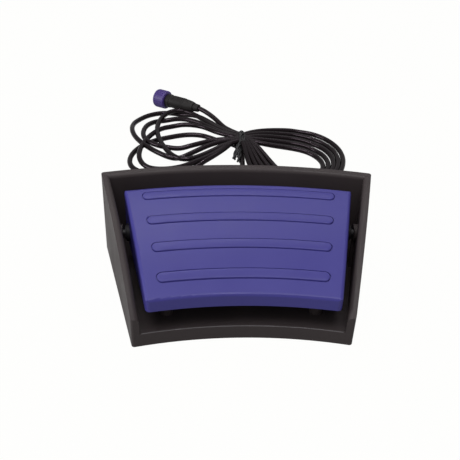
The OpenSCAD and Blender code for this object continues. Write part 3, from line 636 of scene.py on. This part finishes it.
GRIP_LEN = 46
RIB_COUNT = 24
RIB_PLACE = (7.25, 0, 29)
RIB_SIZE = (0.9, 0.85, 17)
RIB_ROUND = 0.28
NUT_LEN = 16
NUT_SIDES = 96
NUT_BORE = 8.5
KNURL_FOOT_R = 11.0
KNURL_DEPTH = 0.5
# faces of the barrel in one tooth and its gap, and in the tooth alone
TOOTH_PITCH = 4
TOOTH_FACES = 2


def on_connector(obj):
    """Moves a piece from the origin to the connector's axis, its tail end at the cord."""
    turn = Matrix.Rotation(math.radians(CON_TURN), 4, "Z")
    tilt = Matrix.Rotation(math.radians(90 + CON_TILT), 4, "Y")
    obj.data.transform(Matrix.Translation(Vector(CON_TAIL) * MM) @ turn @ tilt)
    return obj


# the grip: a collar, a cone and a barrel, with a shoulder for the nut at its end
grip = turned("connector_grip", [
    (2.62, 0), (3.9, 0), (4.5, 0.5), (4.9, 5.4), (4.5, 6.0), (4.5, 7.0), (5.6, 7.4), (6.5, 11),
    (7.1, 16), (7.4, 22), (7.5, 30), (7.5, 40), (8.1, 40.8), (8.1, 44.6), (7.7, 45.6), (7.7, GRIP_LEN),
], sides=48)
smooth(grip, 30)


def grip_rib():
    """One raised rib along the barrel, at the top of the piece."""
    bpy.ops.object.select_all(action="DESELECT")
    bpy.ops.mesh.primitive_cube_add(size=1, location=Vector(RIB_PLACE) * MM)
    rib = bpy.context.object
    rib.scale = Vector(RIB_SIZE) * MM
    bpy.ops.object.transform_apply(location=True, rotation=True, scale=True)
    bpy.ops.object.mode_set(mode="EDIT")
    bpy.ops.mesh.select_all(action="SELECT")
    bpy.ops.mesh.bevel(offset=RIB_ROUND * MM, segments=2, affect="EDGES")
    bpy.ops.object.mode_set(mode="OBJECT")
    return rib


first_rib = grip_rib()
ribs = [first_rib]
for k in range(1, RIB_COUNT):
    ribs.append(copied(first_rib, Matrix.Rotation(math.radians(360 / RIB_COUNT * k), 4, "Z")))
grip = joined("connector_grip", [grip] + ribs)
on_connector(grip)
dress(grip, GRIP_BLACK)
smooth(grip, 30)
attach(grip, "base")
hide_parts("connector_body")

# the coupling nut: a ring with a rounded far end and a knurled barrel
NUT_END = GRIP_LEN + NUT_LEN
KNURL_LOW = GRIP_LEN + 2.6
KNURL_HIGH = NUT_END - 3.4
nut = turned("knurled_coupling_nut", [
    (NUT_BORE, GRIP_LEN + 0.3), (9.6, GRIP_LEN + 0.3), (10.6, GRIP_LEN + 0.9),
    (KNURL_FOOT_R, GRIP_LEN + 2.0), (KNURL_FOOT_R, KNURL_LOW), (KNURL_FOOT_R, KNURL_HIGH),
    (10.9, NUT_END - 2.2), (10.3, NUT_END - 0.8), (9.3, NUT_END - 0.1), (8.7, NUT_END),
    (NUT_BORE, NUT_END - 0.3), (NUT_BORE, NUT_END - 5),
], sides=NUT_SIDES)


def in_tooth(face):
    """Whether a face of the nut's barrel is raised as part of a knurl's tooth."""
    on_barrel = KNURL_LOW * MM < face.center.z < KNURL_HIGH * MM
    outside = face.center.xy.length > (KNURL_FOOT_R - KNURL_DEPTH) * MM
    angle = math.atan2(face.center.y, face.center.x) + math.pi
    number = int(angle / math.radians(360 / NUT_SIDES))
    return on_barrel and outside and number % TOOTH_PITCH < TOOTH_FACES


pick(nut, in_tooth)
bpy.ops.mesh.extrude_region_shrink_fatten(TRANSFORM_OT_shrink_fatten={"value": -KNURL_DEPTH * MM})
bpy.ops.object.mode_set(mode="OBJECT")
on_connector(nut)
dress(nut, NUT_BLUE)
smooth(nut, 32)
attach(nut, "coupling")
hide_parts("coupling_nut")

# ---------------------------------------------------------------- twisted wire tie

TIE_WIRE_R = 1.15
TIE_LOOPS_X = (15.2, 17.4, 19.6)
# half size of a loop across and up, its middle's height, and how square it is round the bundle
LOOP_ACROSS = 11.4
LOOP_UP = 7.6
LOOP_MID_Z = 9.0
LOOP_SQUARE = 0.6
LOOP_LEAN = 0.8
# each twisted end: from, to, how far it arches, its first phase and its wire's radius
TIE_ENDS = [
    ((15, 239, 10.5), (8, 215, 3.4), 1.5, 0, 1.2),
    ((17, 237, 9.5), (13, 209, 3.2), 1.5, 0.4, 1.2),
    ((16, 238, 11.5), (11, 217, 4.2), 2.5, 1.2, 1.2),
    ((18, 254, 16.0), (18, 243, 16.6), 2.4, 0.6, 1.1),
]
TWISTS = 1.4


def squared(value):
    """Pushes a sine or cosine towards 1 or -1, so that a ring is flat over the bundle."""
    return math.copysign(abs(value) ** LOOP_SQUARE, value)


def tie_loop(x):
    """One turn of the tie round the bundle, standing across it."""
    points = []
    for k in range(40):
        a = 2 * math.pi * k / 40
        y = TIE[1] + LOOP_ACROSS * squared(math.cos(a))
        z = LOOP_MID_Z + LOOP_UP * squared(math.sin(a))
        points.append((x + LOOP_LEAN * math.sin(a), y, z))
    return points


def tie_end(first, last, arch, phase):
    """One of two wires that are twisted round each other and spread towards the end."""
    points = []
    for k in range(34):
        t = k / 33
        a = phase + TWISTS * 2 * math.pi * t
        y = first[1] + (last[1] - first[1]) * t
        x = first[0] + (last[0] - first[0]) * t
        z = first[2] + (last[2] - first[2]) * t + arch * math.sin(math.pi * t)
        wide = 0.9 + 0.5 * t
        points.append((x + wide * math.cos(a), y, z + 0.9 * math.sin(a)))
    return points


tie_parts = [wire("tie", tie_loop(x), TIE_WIRE_R, True) for x in TIE_LOOPS_X]
for first, last, arch, phase, radius in TIE_ENDS:
    for start in (phase, phase + math.pi):
        tie_parts.append(wire("tie", tie_end(first, last, arch, start), radius))
tie = joined("wire_tie", tie_parts)
dress(tie, TIE_WIRE)
smooth(tie, 50)
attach(tie, "base")
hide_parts("twist_tie")

# ---------------------------------------------------------------- bead along the tray's front edge, lighter than the tray as a painted highlight

# the bead's line, from the centre of the arcs, and its height, a little sunk in the lip
BEAD_ARC_R = 393.3
BEAD_Z = 13.35
BEAD_R = 0.55
BEAD_HALF_A = math.radians(11.9)
BEAD_HALF_STEPS = 30


def lip_highlight_bead():
    """A thin glossy bead on the low lip of the deck, bent along the tray's front arc, coloured lighter
    than the tray as a painted highlight.
    """
    points = []
    for k in range(-BEAD_HALF_STEPS, BEAD_HALF_STEPS + 1):
        x, y = on_arc(BEAD_ARC_R, BEAD_HALF_A * k / BEAD_HALF_STEPS)
        points.append((x, y, BEAD_Z))
    return wire("lip_highlight_bead", points, BEAD_R)


# lighter than the tray plastic: this colour paints the highlight line along the lip's edge
BEAD_PAINTED_HIGHLIGHT = finish_of(
    "bead plastic with painted highlight", (0.1, 0.092, 0.096), gloss=(0.22, 0.3), grain=1400.0, depth=0.00001,
    cloud=0.05)
bead = lip_highlight_bead()
dress(bead, BEAD_PAINTED_HIGHLIGHT)
smooth(bead, 40)
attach(bead, "base")

# ---------------------------------------------------------------- floor, backdrop and light

TABLE_GREY = (0.42, 0.42, 0.41)
TABLE_GLOW = 0.985
GLOW_IN_GLOSS = 0.2
ROOM_LIGHT = 0.4
LAMP_AIM = (0, 0.05, 0)


def pale(name, color, glow):
    """A matt surface that the camera sees nearly white, and that glossy things mirror a little."""
    mat = bpy.data.materials.new(name)
    mat.use_nodes = True
    tree = mat.node_tree
    tree.nodes.clear()
    matt = tree.nodes.new("ShaderNodeBsdfDiffuse")
    matt.inputs["Color"].default_value = (*color, 1)
    lamp = tree.nodes.new("ShaderNodeEmission")
    lamp.inputs["Color"].default_value = (1, 1, 0.99, 1)
    lamp.inputs["Strength"].default_value = 1.0
    seen = tree.nodes.new("ShaderNodeLightPath")
    shine = tree.nodes.new("ShaderNodeMath")
    shine.operation = "MULTIPLY"
    shine.inputs[1].default_value = GLOW_IN_GLOSS
    tree.links.new(seen.outputs["Is Glossy Ray"], shine.inputs[0])
    either = tree.nodes.new("ShaderNodeMath")
    either.operation = "MAXIMUM"
    tree.links.new(seen.outputs["Is Camera Ray"], either.inputs[0])
    tree.links.new(shine.outputs[0], either.inputs[1])
    share = tree.nodes.new("ShaderNodeMath")
    share.operation = "MULTIPLY"
    share.inputs[1].default_value = glow
    tree.links.new(either.outputs[0], share.inputs[0])
    mix = tree.nodes.new("ShaderNodeMixShader")
    tree.links.new(share.outputs[0], mix.inputs["Fac"])
    tree.links.new(matt.outputs[0], mix.inputs[1])
    tree.links.new(lamp.outputs[0], mix.inputs[2])
    output = tree.nodes.new("ShaderNodeOutputMaterial")
    tree.links.new(mix.outputs[0], output.inputs["Surface"])
    return mat


bpy.ops.object.select_all(action="DESELECT")
bpy.ops.mesh.primitive_plane_add(size=12, location=(0, 0, 0))
table = bpy.context.object
table.name = "table"
dress(table, pale("pale table", TABLE_GREY, TABLE_GLOW))

world = bpy.data.worlds.new("studio")
bpy.context.scene.world = world
world.use_nodes = True
sky = world.node_tree
back = sky.nodes["Background"]
back.inputs["Color"].default_value = (1, 1, 1, 1)
path = sky.nodes.new("ShaderNodeLightPath")
level = sky.nodes.new("ShaderNodeMapRange")
level.inputs["To Min"].default_value = ROOM_LIGHT
level.inputs["To Max"].default_value = 1.0
sky.links.new(path.outputs["Is Camera Ray"], level.inputs["Value"])
sky.links.new(level.outputs["Result"], back.inputs["Strength"])


def softbox(name, place, size, power):
    """A rectangular lamp at a place, turned to the middle of the tray."""
    bpy.ops.object.select_all(action="DESELECT")
    heading = (Vector(LAMP_AIM) - Vector(place)).to_track_quat("-Z", "Y").to_euler()
    bpy.ops.object.light_add(type="AREA", location=place, rotation=heading)
    lamp = bpy.context.object
    lamp.name = name
    lamp.data.shape = "RECTANGLE"
    lamp.data.size, lamp.data.size_y = size
    lamp.data.energy = power
    return lamp


softbox("softbox high", (-0.2, -0.4, 1.3), (1.0, 0.6), 10)
softbox("softbox behind", (0.1, 0.9, 1.5), (1.4, 0.3), 3)
softbox("softbox left", (-1.2, -0.2, 0.5), (0.6, 0.6), 6)
softbox("small hard lamp", (-0.1, 0.5, 1.2), (0.08, 0.08), 1.1)

bpy.context.view_layer.update()
